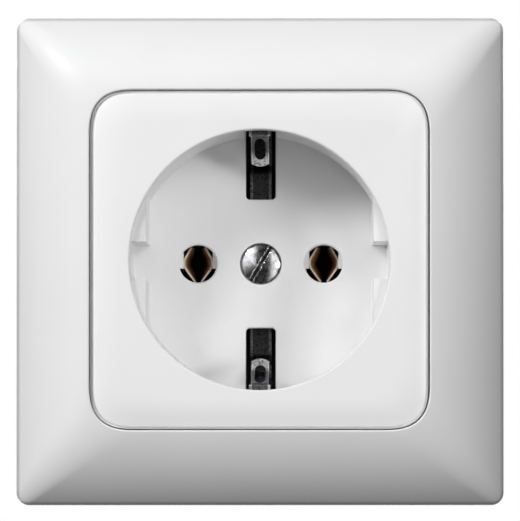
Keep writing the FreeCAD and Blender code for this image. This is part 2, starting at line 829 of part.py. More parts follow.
# Contacts and terminals, drawn for the right side
def leaf(side):
    """One bent spring leaf beside the pin, pinched in on its way back."""
    front = cavity_front_y + part_play
    back = contact_web_y + spring_thickness / 2
    levels = (front, front + (back - front) * leaf_pinch_share, back)
    wires = []
    h, t = leaf_half_height, leaf_thickness
    for y, apex, fold in zip(levels, leaf_apexes, leaf_folds):
        tip = apex - fold
        section = [(apex, 0), (tip, h), (tip + t, h), (apex + t, 0), (tip + t, -h), (tip, -h)]
        points = [Vector(pin_x + side * x, y, z) for x, z in section]
        wires.append(Part.makePolygon(points + [points[0]]))
    return Part.makeLoft(wires, True, True)


def make_contact():
    reach = max(leaf_apexes) + leaf_thickness
    web = block(pin_x - reach, terminal_outer_x, contact_web_y, contact_web_back_y,
                -leaf_half_height, leaf_half_height)
    hole = rod_y(rivet_radius + thread_play, rivet_x, 0, contact_web_y - past, contact_web_back_y + past)
    return web.fuse([leaf(-1), leaf(1)]).cut(hole).removeSplitter()


def make_terminal():
    body = block(terminal_inner_x, terminal_outer_x, terminal_front_y, terminal_back_y,
                 -terminal_half_length, terminal_half_length)
    end_y = terminal_back_y + past
    rivet_end = terminal_back_y - contact_rivet_depth - rivet_end_play
    tools = [rod_y(rivet_radius + thread_play, rivet_x, 0, rivet_end, end_y)]
    wire_start = terminal_front_y + terminal_front_wall
    for z in (-terminal_wire_z, terminal_wire_z):
        tools.append(rod_y(wire_hole_radius, terminal_wire_x, z, wire_start, end_y))
        start = Vector(terminal_wire_x, clamp_screw_y, z)
        tools.append(rod(clamp_screw_radius + thread_play, start, start + Vector(terminal_width, 0, 0)))
    return body.cut(tools).removeSplitter()


def rivet(shank):
    head = cone_y(rivet_head_radius, rivet_head_top_radius, 0, 0, 0, rivet_head_height)
    return head.fuse(rod_y(rivet_radius, 0, 0, -shank, 0)).removeSplitter()


def make_contact_rivet():
    shank = spring_thickness + contact_rivet_depth
    return aimed(rivet(shank), Vector(rivet_x, contact_web_back_y, 0), Vector(0, 1, 0))


def clamp_screw(block_to_wire):
    """A screw that reaches the wire, whose middle lies this deep in its block."""
    length = clamp_head_stand + block_to_wire - wire_hole_radius
    return screw(clamp_head_radius, clamp_head_height, screw_head_dome,
                 clamp_screw_radius, length, clamp_slot_angle)


def make_terminal_screw(z):
    start = Vector(terminal_outer_x + clamp_head_stand, clamp_screw_y, z)
    return aimed(clamp_screw(terminal_outer_x - terminal_wire_x), start, Vector(-1, 0, 0))


# Earth bracket with its clips, earth block and its screws
def make_earth_bracket():
    points = [
        (0.0, strip_y),
        (strip_step_place, strip_y),
        (strip_step_place + strip_step_run, strip_deep_y),
        (clip_rise, strip_deep_y),
        (clip_rise, clip_fold_y),
        (clip_fold_place, clip_fold_y),
        (clip_end_place + clip_knee_run, clip_end_y - clip_knee_rise),
        (clip_end_place, clip_end_y),
    ]
    bends = [strip_bend, strip_bend, strip_bend, clip_bend, clip_bend, clip_bend]
    w = strip_half_width
    face = folded_strip(points, bends, spring_thickness, lambda r, y: Vector(-w, y, r))
    half = face.extrude(Vector(2 * w, 0, 0))

    tools = []
    through = (clip_fold_y - spring_thickness, clip_end_y + spring_thickness)
    tip_z = clip_end_place - past
    for side in (-1, 1):
        low, high = sorted((side * clip_half_width, side * (w + past)))
        tools.append(block(low, high, *through, tip_z, clip_fold_place - clip_shoulder))
    inner = clip_end_place + clip_window_end + clip_window_half
    outer = clip_fold_place - clip_window_top - clip_window_half
    tools.append(slot_y(clip_window_half, (0, inner), (0, outer), *through))
    round_z = clip_end_place + clip_end_round
    waste = block(-w - past, w + past, *through, tip_z, round_z)
    tools.append(waste.cut(rod_y(clip_end_round, 0, round_z, *through)))
    half = half.cut(tools)

    boss_end = bracket_back_y + bracket_boss_length
    eye = rod_y(bracket_eye_radius, 0, 0, base_front_y, bracket_back_y)
    boss = rod_y(bracket_boss_radius, 0, 0, bracket_back_y, boss_end)
    bracket = half.fuse([mirrored_z(half), eye, boss])
    thread = rod_y(cover_screw_radius + thread_play, 0, 0, base_front_y - past, boss_end + past)
    hole = rod_y(rivet_radius + thread_play, 0, earth_post_z, strip_deep_y - past, strip_deep_y + past)
    return bracket.cut([thread, hole]).removeSplitter()


def make_earth_terminal():
    body = block(-earth_block_half, earth_block_half, terminal_front_y, terminal_back_y,
                 -earth_block_outer, -earth_block_outer + earth_block_depth)
    p = earth_post_half
    z = earth_post_z
    body = body.fuse(block(-p, p, strip_deep_back_y, terminal_front_y, z - p, z + p))
    rivet_end = strip_deep_back_y + earth_rivet_depth + rivet_end_play
    tools = [rod_y(rivet_radius + thread_play, 0, z, strip_deep_back_y - past, rivet_end)]
    wire_start = terminal_front_y + terminal_front_wall
    for x in (-earth_wire_x, earth_wire_x):
        tools.append(rod_y(wire_hole_radius, x, earth_wire_z, wire_start, terminal_back_y + past))
        start = Vector(x, clamp_screw_y, earth_wire_z)
        tools.append(rod(clamp_screw_radius + thread_play, start, start + Vector(0, 0, -earth_block_depth)))
    return body.cut(tools).removeSplitter()


def make_earth_screw(x):
    start = Vector(x, clamp_screw_y, -earth_block_outer - clamp_head_stand)
    return aimed(clamp_screw(earth_wire_inset), start, Vector(0, 0, 1))


def make_earth_rivet():
    shank = spring_thickness + earth_rivet_depth
    strip_front = strip_deep_y - spring_thickness / 2
    return aimed(rivet(shank), Vector(0, strip_front, earth_post_z), Vector(0, -1, 0))


def make_cover_screw():
    piece = screw(cover_screw_head_radius, cover_screw_head_height, cover_screw_dome,
                  cover_screw_radius, cover_screw_length, cover_screw_slot_angle)
    return aimed(piece, Vector(0, cover_screw_seat_y, 0), Vector(0, 1, 0))


def make_back_screw(z):
    piece = screw(back_screw_head_radius, back_screw_head_height, screw_head_dome,
                  back_screw_radius, back_screw_length, back_screw_slot_angle)
    return aimed(piece, Vector(0, back_screw_seat_y(), z), Vector(0, -1, 0))


# Spreading claw and its screw, drawn for the right side
def make_claw_screw():
    """The screw hangs in the ring by a ball seat under its head, so that it can tilt."""
    seat_y = claw_pivot_y()
    ball, r = claw_head_radius, claw_screw_radius
    neck = seat_y + math.sqrt(ball ** 2 - r ** 2)
    middle_angle = (math.asin(r / ball) + math.pi / 2) / 2
    seat = arc_edge(
        Vector(ball, seat_y, 0),
        Vector(ball * math.sin(middle_angle), seat_y + ball * math.cos(middle_angle), 0),
        Vector(r, neck, 0),
    )
    top = seat_y - claw_head_edge
    rest = line_edges([
        (r, neck, 0),
        (r, claw_screw_end_y - claw_screw_tip, 0),
        (r - claw_screw_tip, claw_screw_end_y, 0),
        (0, claw_screw_end_y, 0),
        (0, top, 0),
        (ball, top, 0),
        (ball, seat_y, 0),
    ])
    body = turned([seat] + rest)
    body.translate(Vector(claw_x, 0, 0))
    half = screw_slot_width / 2
    return body.cut(block(claw_x - ball, claw_x + ball, top, top + claw_screw_slot_depth, -half, half))


def make_claw():
    """Two toothed cheeks joined by a web at the back, with a threaded collar on the screw."""
    pitch = (claw_back_y - claw_web - claw_front_y) / claw_teeth
    outline = [(claw_inner_x, claw_front_y)]
    for tooth in range(claw_teeth):
        y = claw_front_y + pitch * tooth
        outline.append((claw_outer_x + claw_tooth, y))
        outline.append((claw_outer_x, y + pitch * claw_tooth_share))
    outline.append((claw_outer_x, claw_back_y))
    outline.append((claw_inner_x, claw_back_y))
    pieces = []
    for place in (-lug_place, lug_place):
        points = [Vector(x, y, place - claw_sheet / 2) for x, y in outline]
        pieces.append(prism(points, Vector(0, 0, claw_sheet)))
    web_half = lug_place + claw_sheet / 2
    web = block(claw_inner_x, claw_outer_x, claw_back_y - claw_web, claw_back_y, -web_half, web_half)
    collar_front = claw_back_y - claw_web - claw_collar_length
    collar = rod_y(claw_collar_radius, claw_x, 0, collar_front, claw_back_y)
    body = web.fuse(pieces + [collar])
    thread = rod_y(claw_screw_radius + thread_play, claw_x, 0, collar_front - past, claw_back_y + past)
    return body.cut(thread).removeSplitter()


def main():
    contact, terminal = make_contact(), make_terminal()
    contact_rivet = make_contact_rivet()
    claw, claw_screw = make_claw(), make_claw_screw()
    nodes = {
        "cover_frame": make_cover_frame(),
        "centre_plate": make_centre_plate(),
        "cover_screw": make_cover_screw(),
        "support_ring": make_support_ring(),
        "socket_base": make_socket_base(),
        "rear_cover": make_rear_cover(),
        "line_contact": contact,
        "neutral_contact": mirrored_x(contact),
        "line_terminal": terminal,
        "neutral_terminal": mirrored_x(terminal),
        "line_contact_rivet": contact_rivet,
        "neutral_contact_rivet": mirrored_x(contact_rivet),
        "earth_bracket": make_earth_bracket(),
        "earth_terminal": make_earth_terminal(),
        "earth_rivet": make_earth_rivet(),
        "earth_terminal_screw_left": make_earth_screw(-earth_wire_x),
        "earth_terminal_screw_right": make_earth_screw(earth_wire_x),
        "rear_cover_screw_upper": make_back_screw(back_screw_upper_z),
        "rear_cover_screw_lower": make_back_screw(back_screw_lower_z),
        "right_claw": claw,
        "left_claw": mirrored_x(claw),
        "right_claw_screw": claw_screw,
        "left_claw_screw": mirrored_x(claw_screw),
    }
    for name, z in (("upper", terminal_wire_z), ("lower", -terminal_wire_z)):
        piece = make_terminal_screw(z)
        nodes["line_terminal_screw_" + name] = piece
        nodes["neutral_terminal_screw_" + name] = mirrored_x(piece)

    os.makedirs("parts", exist_ok=True)
    for name, shape in nodes.items():
        solids = shape.Solids
        print(name, len(solids), "solid, valid" if shape.isValid() else "solid, NOT VALID",
              round(shape.Volume, 1), "mm3")
        shape = solids[0] if len(solids) == 1 else shape
        shape.exportStep(os.path.join("parts", name + ".step"))


main()
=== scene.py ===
import json
import math

import bpy
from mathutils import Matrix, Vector

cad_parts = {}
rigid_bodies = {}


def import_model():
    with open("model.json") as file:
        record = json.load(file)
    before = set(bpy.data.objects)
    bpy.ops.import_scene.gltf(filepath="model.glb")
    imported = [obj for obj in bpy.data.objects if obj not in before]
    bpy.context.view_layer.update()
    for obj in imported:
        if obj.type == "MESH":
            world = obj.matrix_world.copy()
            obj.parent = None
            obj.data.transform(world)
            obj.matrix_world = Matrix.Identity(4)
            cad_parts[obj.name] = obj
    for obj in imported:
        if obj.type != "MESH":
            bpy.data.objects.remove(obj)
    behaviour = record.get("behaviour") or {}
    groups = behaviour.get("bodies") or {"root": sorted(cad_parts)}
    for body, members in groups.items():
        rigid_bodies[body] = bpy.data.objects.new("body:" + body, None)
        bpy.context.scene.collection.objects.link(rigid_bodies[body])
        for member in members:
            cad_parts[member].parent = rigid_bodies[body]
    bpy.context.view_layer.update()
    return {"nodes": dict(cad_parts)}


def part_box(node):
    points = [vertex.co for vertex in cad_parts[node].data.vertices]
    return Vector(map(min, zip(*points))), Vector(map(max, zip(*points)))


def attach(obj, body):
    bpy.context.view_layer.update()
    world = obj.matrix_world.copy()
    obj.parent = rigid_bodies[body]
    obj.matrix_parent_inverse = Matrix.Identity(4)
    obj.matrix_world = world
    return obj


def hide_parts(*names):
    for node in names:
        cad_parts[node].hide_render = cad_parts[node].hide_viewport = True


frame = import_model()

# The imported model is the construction: every piece below is built on its nodes, in metres.
# The socket faces -Y, its wall side is y = 0, and its middle is x = z = 0.
mm = 0.001
nodes = frame["nodes"]


# Socket base: the pale urea moulding that carries the brass parts. It is press moulded in one
# shot, so its edges are slightly round and its skin is matt with a fine mottle. It sits in the
# support ring's opening and hooks behind the ring's four tabs.
def deselect():
    if bpy.context.object and bpy.context.object.mode == "EDIT":
        bpy.ops.object.mode_set(mode="OBJECT")
    bpy.ops.object.select_all(action="DESELECT")


def pick(*pieces):
    """Selects only these pieces, with the first as the active one."""
    deselect()
    for piece in pieces:
        piece.select_set(True)
    bpy.context.view_layer.objects.active = pieces[0]
    return pieces[0]


def modify(piece, kind, **settings):
    """Adds a modifier with these settings and applies it."""
    pick(piece)
    bpy.ops.object.modifier_add(type=kind)
    modifier = piece.modifiers[-1]
    for name, value in settings.items():
        setattr(modifier, name, value)
    bpy.ops.object.modifier_apply(modifier=modifier.name)


def shade(piece):
    """Smooth shading that breaks at edges sharper than 30 degrees, with flat faces kept flat."""
    pick(piece)
    bpy.ops.object.shade_smooth_by_angle(angle=math.radians(30))
    modify(piece, "WEIGHTED_NORMAL", keep_sharp=True)


def round_edges(piece, width, segments=2, angle=50):
    """Rounds the edges at which a piece turns by more than this angle."""
    modify(piece, "BEVEL", width=width, segments=segments,
           limit_method="ANGLE", angle_limit=math.radians(angle))


def softened(node, name, edge):
    """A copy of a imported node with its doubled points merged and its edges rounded."""
    pick(nodes[node])
    bpy.ops.object.duplicate()
    piece = bpy.context.object
    bpy.ops.object.parent_clear(type="CLEAR_KEEP_TRANSFORM")
    bpy.ops.object.transform_apply(location=True, rotation=True, scale=True)
    piece.name = name
    bpy.ops.object.mode_set(mode="EDIT")
    bpy.ops.mesh.select_all(action="SELECT")
    bpy.ops.mesh.remove_doubles(threshold=0.0005 * mm)
    bpy.ops.mesh.dissolve_limited(angle_limit=math.radians(0.5))
    bpy.ops.object.mode_set(mode="OBJECT")
    round_edges(piece, edge)
    shade(piece)
    return piece


def box_piece(low, high):
    """A rectangular block between two corners, whose numbers may come in either order."""
    middle = [(a + b) / 2 for a, b in zip(low, high)]
    deselect()
    bpy.ops.mesh.primitive_cube_add(
        size=1, location=middle, scale=[abs(b - a) for a, b in zip(low, high)])
    bpy.ops.object.transform_apply(location=True, rotation=True, scale=True)
    return bpy.context.object


def carve(piece, tool, operation="DIFFERENCE"):
    """Cuts a tool out of a piece, or adds it, and removes the tool."""
    modify(piece, "BOOLEAN", operation=operation, solver="EXACT", object=tool)
    pick(tool)
    bpy.ops.object.delete()


def outward(piece):
    """Turns a piece's faces to one side, which is outwards on a closed piece."""
    pick(piece)
    bpy.ops.object.mode_set(mode="EDIT")
    bpy.ops.mesh.select_all(action="SELECT")
    bpy.ops.mesh.normals_make_consistent(inside=False)
    bpy.ops.object.mode_set(mode="OBJECT")


def joined(pieces):
    pick(*pieces)
    bpy.ops.object.join()
    return bpy.context.object


def linear(colour):
    """An sRGB colour such as "#B3B7BB" as Blender's linear red, green, blue and alpha."""
    parts = [int(colour[i:i + 2], 16) / 255 for i in (1, 3, 5)]
    return [p / 12.92 if p <= 0.04045 else ((p + 0.055) / 1.055) ** 2.4 for p in parts] + [1.0]


def add_node(material, kind, links=None, **settings):
    """Adds a shader node, sets its properties, and gives its inputs their values or links."""
    node = material.node_tree.nodes.new(kind)
    for name, value in settings.items():
        setattr(node, name, value)
    for name, value in (links or {}).items():
        if isinstance(value, bpy.types.NodeSocket):
            material.node_tree.links.new(value, node.inputs[name])
        else:
            node.inputs[name].default_value = value
    return node


def new_material(name, **values):
    """A material whose Principled shader has these plain values."""
    material = bpy.data.materials.new(name)
    material.use_nodes = True
    shader = material.node_tree.nodes["Principled BSDF"]
    for key, value in values.items():
        shader.inputs[key.replace("_", " ")].default_value = value
    place = add_node(material, "ShaderNodeTexCoord").outputs["Object"]
    return material, shader, place


def feed(material, shader, socket, output):
    material.node_tree.links.new(output, shader.inputs[socket])


def grained(material, shader, place, size, height):
    """Bump with grains of about this size and height, drawn coarser than real so that they show."""
    grain = add_node(material, "ShaderNodeTexNoise", {
        "Vector": place, "Scale": 1 / size, "Detail": 4.0,
    })
    bump = add_node(material, "ShaderNodeBump", {"Height": grain.outputs["Fac"], "Distance": height})
    feed(material, shader, "Normal", bump.outputs["Normal"])


def ramped(material, factor, colours, low=0.0, high=1.0):
    """A colour that goes through the given ones while the factor goes from low to high."""
    ramp = add_node(material, "ShaderNodeValToRGB", {"Fac": factor})
    steps = ramp.color_ramp.elements
    while len(steps) < len(colours):
        steps.new(0.5)
    for i, colour in enumerate(colours):
        steps[i].position = low + (high - low) * i / (len(colours) - 1)
        steps[i].color = linear(colour)
    return ramp.outputs["Color"]


def blotched(material, place, size, colours, detail=3.0):
    """A colour that drifts between the given ones over patches of about this size."""
    noise = add_node(material, "ShaderNodeTexNoise", {
        "Vector": place, "Scale": 1 / size, "Detail": detail,
    })
    return ramped(material, noise.outputs["Fac"], colours, 0.3, 0.7)


def dress(piece, material, hides, body="socket"):
    """Gives a piece its material and its body, and hides the node it stands for."""
    piece.data.materials.clear()
    piece.data.materials.append(material)
    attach(piece, body)
    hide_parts(hides)


def near(material, place, axis, reach):
    """One where the place is nearer to the middle than this along an axis, and nought elsewhere."""
    split = add_node(material, "ShaderNodeSeparateXYZ", {"Vector": place})
    away = add_node(material, "ShaderNodeMath", {0: split.outputs[axis]}, operation="ABSOLUTE")
    inside = add_node(material, "ShaderNodeMath", {
        0: away.outputs[0], 1: reach,
    }, operation="LESS_THAN")
    return inside.outputs[0]


pin_x = 9.5 * mm
base_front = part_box("centre_plate")[1][1]
channel_half_width = 2.45 * mm
channel_depth = 5 * mm
channel_half_length = 21 * mm
urea, urea_shader, urea_place = new_material("pressed_urea_moulding", Roughness=0.55)
# The channel behind the earth slots is painted nearly black, a painted shade, so that the slots look
# black.
channel = near(urea, urea_place, "X", channel_half_width)
for axis, reach in (("Y", base_front + channel_depth), ("Z", channel_half_length)):
    channel = add_node(urea, "ShaderNodeMath", {
        0: channel, 1: near(urea, urea_place, axis, reach),
    }, operation="MULTIPLY").outputs[0]
channel_tone = add_node(urea, "ShaderNodeMapRange", {
    "Value": channel, "To Min": 1.0, "To Max": 0.02,
})
feed(urea, urea_shader, "Base Color", add_node(urea, "ShaderNodeVectorMath", {
    0: blotched(urea, urea_place, 3 * mm, ("#E5E5E2", "#E9E9E6", "#ECECEA")),
    "Scale": channel_tone.outputs["Result"],
}, operation="SCALE").outputs[0])
grained(urea, urea_shader, urea_place, 0.25 * mm, 0.01 * mm)
base = softened("socket_base", "base_moulding", 0.12 * mm)
# The nubs beside the contacts reach higher above the pins' level than below it.
nub_inner = 2.2 * mm
nub_outer = 3.25 * mm
nub_front = base_front + 0.01 * mm
nub_back = base_front + 1.49 * mm
nub_added = (1.0 * mm, 1.95 * mm)
nub_removed = (-1.2 * mm, -0.65 * mm)
nub_x = [
    (pin * pin_x + side * nub_inner, pin * pin_x + side * nub_outer)
    for pin in (-1, 1) for side in (-1, 1)
]
carve(base, joined([
    box_piece((a, nub_front, nub_added[0]), (b, nub_back, nub_added[1])) for a, b in nub_x
]), "UNION")
carve(base, joined([
    box_piece((a, nub_front - mm, nub_removed[0]), (b, nub_back + mm, nub_removed[1])) for a, b in nub_x
]))
shade(base)
dress(base, urea, hides="socket_base")


# Clamping blocks and rivets: the blocks are sawn from brass bar, and the rivets are turned. Bare brass
# is a warm yellow. Its front stretch is painted dark, a painted shade, so that the pin holes look deep.
def painted_by_depth(material, place, near, far, colours):
    """A colour painted by depth, from the first at the near Y to the last at the far Y: painted shade
    and light that follow depth.
    """
    split = add_node(material, "ShaderNodeSeparateXYZ", {"Vector": place})
    depth = add_node(material, "ShaderNodeMapRange", {
        "Value": split.outputs["Y"], "From Min": near, "From Max": far,
    })
    return ramped(material, depth.outputs["Result"], colours)


def worn(material, place, size, low, high):
    """A roughness that wanders between two values over patches of about this size."""
    noise = add_node(material, "ShaderNodeTexNoise", {
        "Vector": place, "Scale": 1 / size, "Detail": 5.0,
    })
    span = add_node(material, "ShaderNodeMapRange", {
        "Value": noise.outputs["Fac"], "From Min": 0.3, "From Max": 0.7, "To Min": low, "To Max": high,
    })
    return span.outputs["Result"]


def coat(node, material):
    """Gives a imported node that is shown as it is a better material."""
    for place in nodes[node].material_slots:
        place.material = material


# Painted shade: the brass is painted dark in front of the first depth and has its own colour behind the
# second.
brass_shaded_to = 14 * mm
brass_unshaded_from = 18 * mm
brass, brass_shader, brass_place = new_material("bare_brass", Metallic=1.0, Roughness=0.3)
feed(brass, brass_shader, "Base Color", add_node(brass, "ShaderNodeVectorMath", {
    0: blotched(brass, brass_place, 1.5 * mm, ("#B9925A", "#CFA76C", "#DDBB86")),
    1: painted_by_depth(brass, brass_place, brass_shaded_to, brass_unshaded_from, ("#2A2622", "#FFFFFF")),
}, operation="MULTIPLY").outputs[0])
feed(brass, brass_shader, "Roughness", worn(brass, brass_place, 0.8 * mm, 0.22, 0.38))
grained(brass, brass_shader, brass_place, 0.12 * mm, 0.004 * mm)
for side in ("line", "neutral"):
    coat(side + "_contact_rivet", brass)
    block = softened(side + "_terminal", side + "_clamp_block", 0.15 * mm)
    dress(block, brass, hides=side + "_terminal")
earth_block = softened("earth_terminal", "earth_clamp_block", 0.15 * mm)
dress(earth_block, brass, hides="earth_terminal")


# Spring contacts: each is a web with two leaves that are folded like a sharp bracket, so that they grip
# the pin at four lines. The strip is sheared, and its front edges are painted near white as a painted
# highlight. The leaves go brown and then black with depth, their tarnish darkened by painted shade.
def bent_sheet(name, rows, thickness):
    """A sheet through these rows of points, thickened to both sides."""
    deselect()
    bpy.ops.mesh.primitive_grid_add(
        x_subdivisions=len(rows[0]) - 1, y_subdivisions=len(rows) - 1, size=mm)
    piece = bpy.context.object
    piece.name = name
    for point, place in zip(piece.data.vertices, [place for row in rows for place in row]):
        point.co = place
    outward(piece)
    modify(piece, "SOLIDIFY", thickness=thickness, offset=0.0, use_even_offset=True)
    return piece


contact_low, contact_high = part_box("line_contact")
leaf_half_height = 2.6 * mm
leaf_thickness = 0.26 * mm
leaf_edge = 0.04 * mm
web_thickness = 0.8 * mm
web_front = contact_high[1] - web_thickness
web_edge_x = pin_x - 2.7 * mm
leaf_root = web_front + 0.2 * mm
brown_depth = 7 * mm
# Each level is its share of the way back, then the leaf's widest, top and bottom distance from
# the pin's middle, in millimetres.
leaf_levels = (
    (0.0, 2.12, 1.05, 0.5), (0.07, 1.9, 0.85, 0.42), (0.2, 1.35, 0.5, 0.34),
    (0.42, 0.98, 0.4, 0.3), (0.65, 1.4, 0.8, 0.7), (1.0, 2.3, 1.5, 1.5),
)
# The contacts' colour is painted by depth: a painted highlight at the front, then brown, then painted
# shade to black.
copper, copper_shader, copper_place = new_material(
    "tarnished_and_depth_shaded_spring_brass", Metallic=0.55, Roughness=0.4)
feed(copper, copper_shader, "Base Color", painted_by_depth(
    copper, copper_place, contact_low[1], contact_low[1] + brown_depth,
    ("#FFEEDC", "#E0B284", "#B07E50", "#704626", "#442814", "#34241A", "#322C28")))
grained(copper, copper_shader, copper_place, 0.15 * mm, 0.003 * mm)
for name, side in (("line", 1), ("neutral", -1)):
    contact = box_piece((web_edge_x, web_front, -leaf_half_height),
                        (contact_high[0], contact_high[1], leaf_half_height))
    contact.name = name + "_spring_contact"
    for hand in (-1, 1):
        rows = []
        for share, wide, top, bottom in leaf_levels:
            y = contact_low[1] + (leaf_root - contact_low[1]) * share
            # The fold, as distance from the pin's middle and height, both in millimetres.
            profile = [
                (top, 2.6), (wide - 0.44, 1.5), (wide - 0.12, 0.95), (wide, 0.5),
                (wide, -0.15), (wide - 0.08, -0.45), (wide - 0.4, -0.95), (bottom, -2.6),
            ]
            rows.append([(pin_x + hand * x * mm, y, z * mm) for x, z in profile])
        carve(contact, bent_sheet("leaf", rows, leaf_thickness), "UNION")
    if side < 0:
        pick(contact)
        contact.scale = (-1, 1, 1)
        bpy.ops.object.transform_apply(location=True, rotation=True, scale=True)
        outward(contact)
    round_edges(contact, leaf_edge)
    shade(contact)
    dress(contact, copper, hides=name + "_contact")


# Zinc-plated steel: the stamped support ring, the claws and the small screws. The plating is
# bright but not mirror-like, with a bluish cast and faint clouds.
zinc, zinc_shader, zinc_place = new_material("zinc_plated_steel", Metallic=1.0, Roughness=0.35)
feed(zinc, zinc_shader, "Base Color",
     blotched(zinc, zinc_place, 4 * mm, ("#B3B7BB", "#B8BCC0", "#BDC0C4")))
feed(zinc, zinc_shader, "Roughness", worn(zinc, zinc_place, 3 * mm, 0.33, 0.4))
grained(zinc, zinc_shader, zinc_place, 0.3 * mm, 0.004 * mm)
ring = softened("support_ring", "ring_stamping", 0.1 * mm)
dress(ring, zinc, hides="support_ring")
for side in ("right", "left"):
    claw = softened(side + "_claw", side + "_toothed_claw", 0.08 * mm)
    dress(claw, zinc, body=side + "_claw", hides=side + "_claw")
    coat(side + "_claw_screw", zinc)
for level in ("upper", "lower"):
    coat("line_terminal_screw_" + level, zinc)
    coat("neutral_terminal_screw_" + level, zinc)
    coat("rear_cover_screw_" + level, zinc)
for side in ("left", "right"):
    coat("earth_terminal_screw_" + side, zinc)


# Rear cover: the grey phenolic plate that closes the base, held by two screws. It is pressed,
# so it is matt with a slight speckle from its filler.
phenolic, phenolic_shader, phenolic_place = new_material("grey_phenolic_moulding", Roughness=0.6)
feed(phenolic, phenolic_shader, "Base Color",
     blotched(phenolic, phenolic_place, 0.8 * mm, ("#7B7E81", "#7F8285", "#838689")))
grained(phenolic, phenolic_shader, phenolic_place, 0.3 * mm, 0.015 * mm)
lid = softened("rear_cover", "rear_cover_moulding", 0.15 * mm)
dress(lid, phenolic, hides="rear_cover")


# Earth bracket: one strip of nickel-plated spring bronze, folded so that its two ends reach into the
# recess as clips. Over a random mottle its colour is painted by depth, dark grey as painted shade with
# a painted highlight at the clips' knees, and its side edges are painted brighter as a painted
# highlight.
bracket_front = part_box("earth_bracket")[0][1]
bracket_fade = 20.35 * mm
clip_edge = 1.2 * mm
nickel, nickel_shader, nickel_place = new_material(
    "nickel_plated_spring_strip", Metallic=0.8, Roughness=0.3)
# Beyond this distance from the strip's middle its side edges are painted four times brighter, a painted
# highlight.
painted_edge_highlight = add_node(nickel, "ShaderNodeMapRange", {
    "Value": near(nickel, nickel_place, "X", clip_edge), "To Min": 4.0, "To Max": 1.0,
})
# The mottle is painted darker or lighter by depth: painted shade on the folds and deep stretch, a
# painted highlight at the knees.
smudged_and_depth_shaded = add_node(nickel, "ShaderNodeVectorMath", {
    0: blotched(nickel, nickel_place, 0.4 * mm, ("#5A5A5C", "#E4E4E4", "#FFFFFF"), detail=5.0),
    1: painted_by_depth(nickel, nickel_place, bracket_front, bracket_front + bracket_fade,
                 ("#6E6E70", "#48484A", "#444446", "#4A4A4C", "#D8D8DA", "#FFFFFF",
                  "#C0C0C2", "#545456", "#4C4C4E", "#444446", "#444446", "#444446")),
}, operation="MULTIPLY")
feed(nickel, nickel_shader, "Base Color", add_node(nickel, "ShaderNodeVectorMath", {
    0: add_node(nickel, "ShaderNodeVectorMath", {
        0: smudged_and_depth_shaded.outputs[0], "Scale": painted_edge_highlight.outputs["Result"],
    }, operation="SCALE").outputs[0], 1: (1.0, 1.0, 1.0),
}, operation="MINIMUM").outputs[0])
feed(nickel, nickel_shader, "Roughness", worn(nickel, nickel_place, 2 * mm, 0.28, 0.36))
grained(nickel, nickel_shader, nickel_place, 0.3 * mm, 0.006 * mm)
strip = softened("earth_bracket", "earth_clip_strip", 0.18 * mm)
dress(strip, nickel, hides="earth_bracket")
coat("earth_rivet", nickel)


# Centre plate: a white thermoplastic moulding with the round recess for the plug. Its face is
# flat, falls away softly near its edges, and the recess has keyed sides, two pin holes, a sunk
# seat for the screw and two slots for the earth clips. It is one piece with its cup.
plate_low, plate_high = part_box("centre_plate")
screw_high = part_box("cover_screw")[1]
plate_half = plate_high[0]
plate_front = plate_low[1]
cup_back = plate_high[1]
floor_thickness = 1.8 * mm
floor_y = cup_back - floor_thickness
recess_rim_radius = 19.6 * mm
recess_floor_radius = 19.15 * mm
cup_radius = 21.2 * mm
rim_round = 0.3 * mm
corner_reach = 6.775 * mm
# A squareness of 0.5 gives a round corner, and more gives a squarer one.
corner_squareness = 0.609
round_corner = 0.5
corner_steps = 16
corner_shrink = 1.7
# Cutting tools reach this far past what they cut.
past = 1 * mm
# Two loops at one depth can be bridged crosswise, so the second stands this far from the first.
flat_step = 0.02 * mm


def soft_rectangle(half_width, low, high, reach, squareness, y, steps=corner_steps):
    """A loop of edges with soft corners between two heights, standing upright at this depth."""
    deselect()
    bpy.ops.mesh.primitive_plane_add(
        size=1, location=(0, y, (low + high) / 2), rotation=(math.pi / 2, 0, 0))
    loop = bpy.context.object
    loop.scale = (2 * half_width, high - low, 1)
    bpy.ops.object.transform_apply(location=True, rotation=True, scale=True)
    bpy.ops.object.mode_set(mode="EDIT")
    bpy.ops.mesh.select_all(action="SELECT")
    bpy.ops.mesh.bevel(offset=reach, segments=steps, profile=squareness, affect="VERTICES")
    bpy.ops.mesh.delete(type="ONLY_FACE")
    bpy.ops.object.mode_set(mode="OBJECT")
    return loop


def soft_square(half, reach, squareness, y):
    return soft_rectangle(half, -half, half, reach, squareness, y)


def circle(radius, y, x=0.0, steps=128):
    """A round loop of edges standing upright at this depth."""
    deselect()
    bpy.ops.mesh.primitive_circle_add(
        vertices=steps, radius=radius, location=(x, y, 0), rotation=(math.pi / 2, 0, 0))
    bpy.ops.object.transform_apply(location=True, rotation=True, scale=True)
    return bpy.context.object


def skinned(name, loops, closed=False):
    """Joins loops into one skin, each bridged to the next. The ends are filled, or joined if closed."""
    for i, loop in enumerate(loops):
        group = loop.vertex_groups.new(name=str(i))
        group.add(range(len(loop.data.vertices)), 1.0, "REPLACE")
    piece = pick(*loops)
    bpy.ops.object.join()
    piece.name = name
    bpy.ops.object.mode_set(mode="EDIT")

    def choose(*which):
        bpy.ops.mesh.select_all(action="DESELECT")
        for i in which:
            piece.vertex_groups.active_index = piece.vertex_groups[str(i)].index
            bpy.ops.object.vertex_group_select()

    last = len(loops) - 1
    for i in range(last):
        choose(i, i + 1)
        bpy.ops.mesh.bridge_edge_loops()
    if closed:
        choose(last, 0)
        bpy.ops.mesh.bridge_edge_loops()
    else:
        for i in (0, last):
            choose(i)
            bpy.ops.mesh.edge_face_add()
    bpy.ops.mesh.select_all(action="SELECT")
    bpy.ops.mesh.normals_make_consistent(inside=False)
    bpy.ops.object.mode_set(mode="OBJECT")
    piece.vertex_groups.clear()
    return piece


def arc_steps(first, last, steps):
    return [math.radians(first + (last - first) * i / steps) for i in range(steps + 1)]


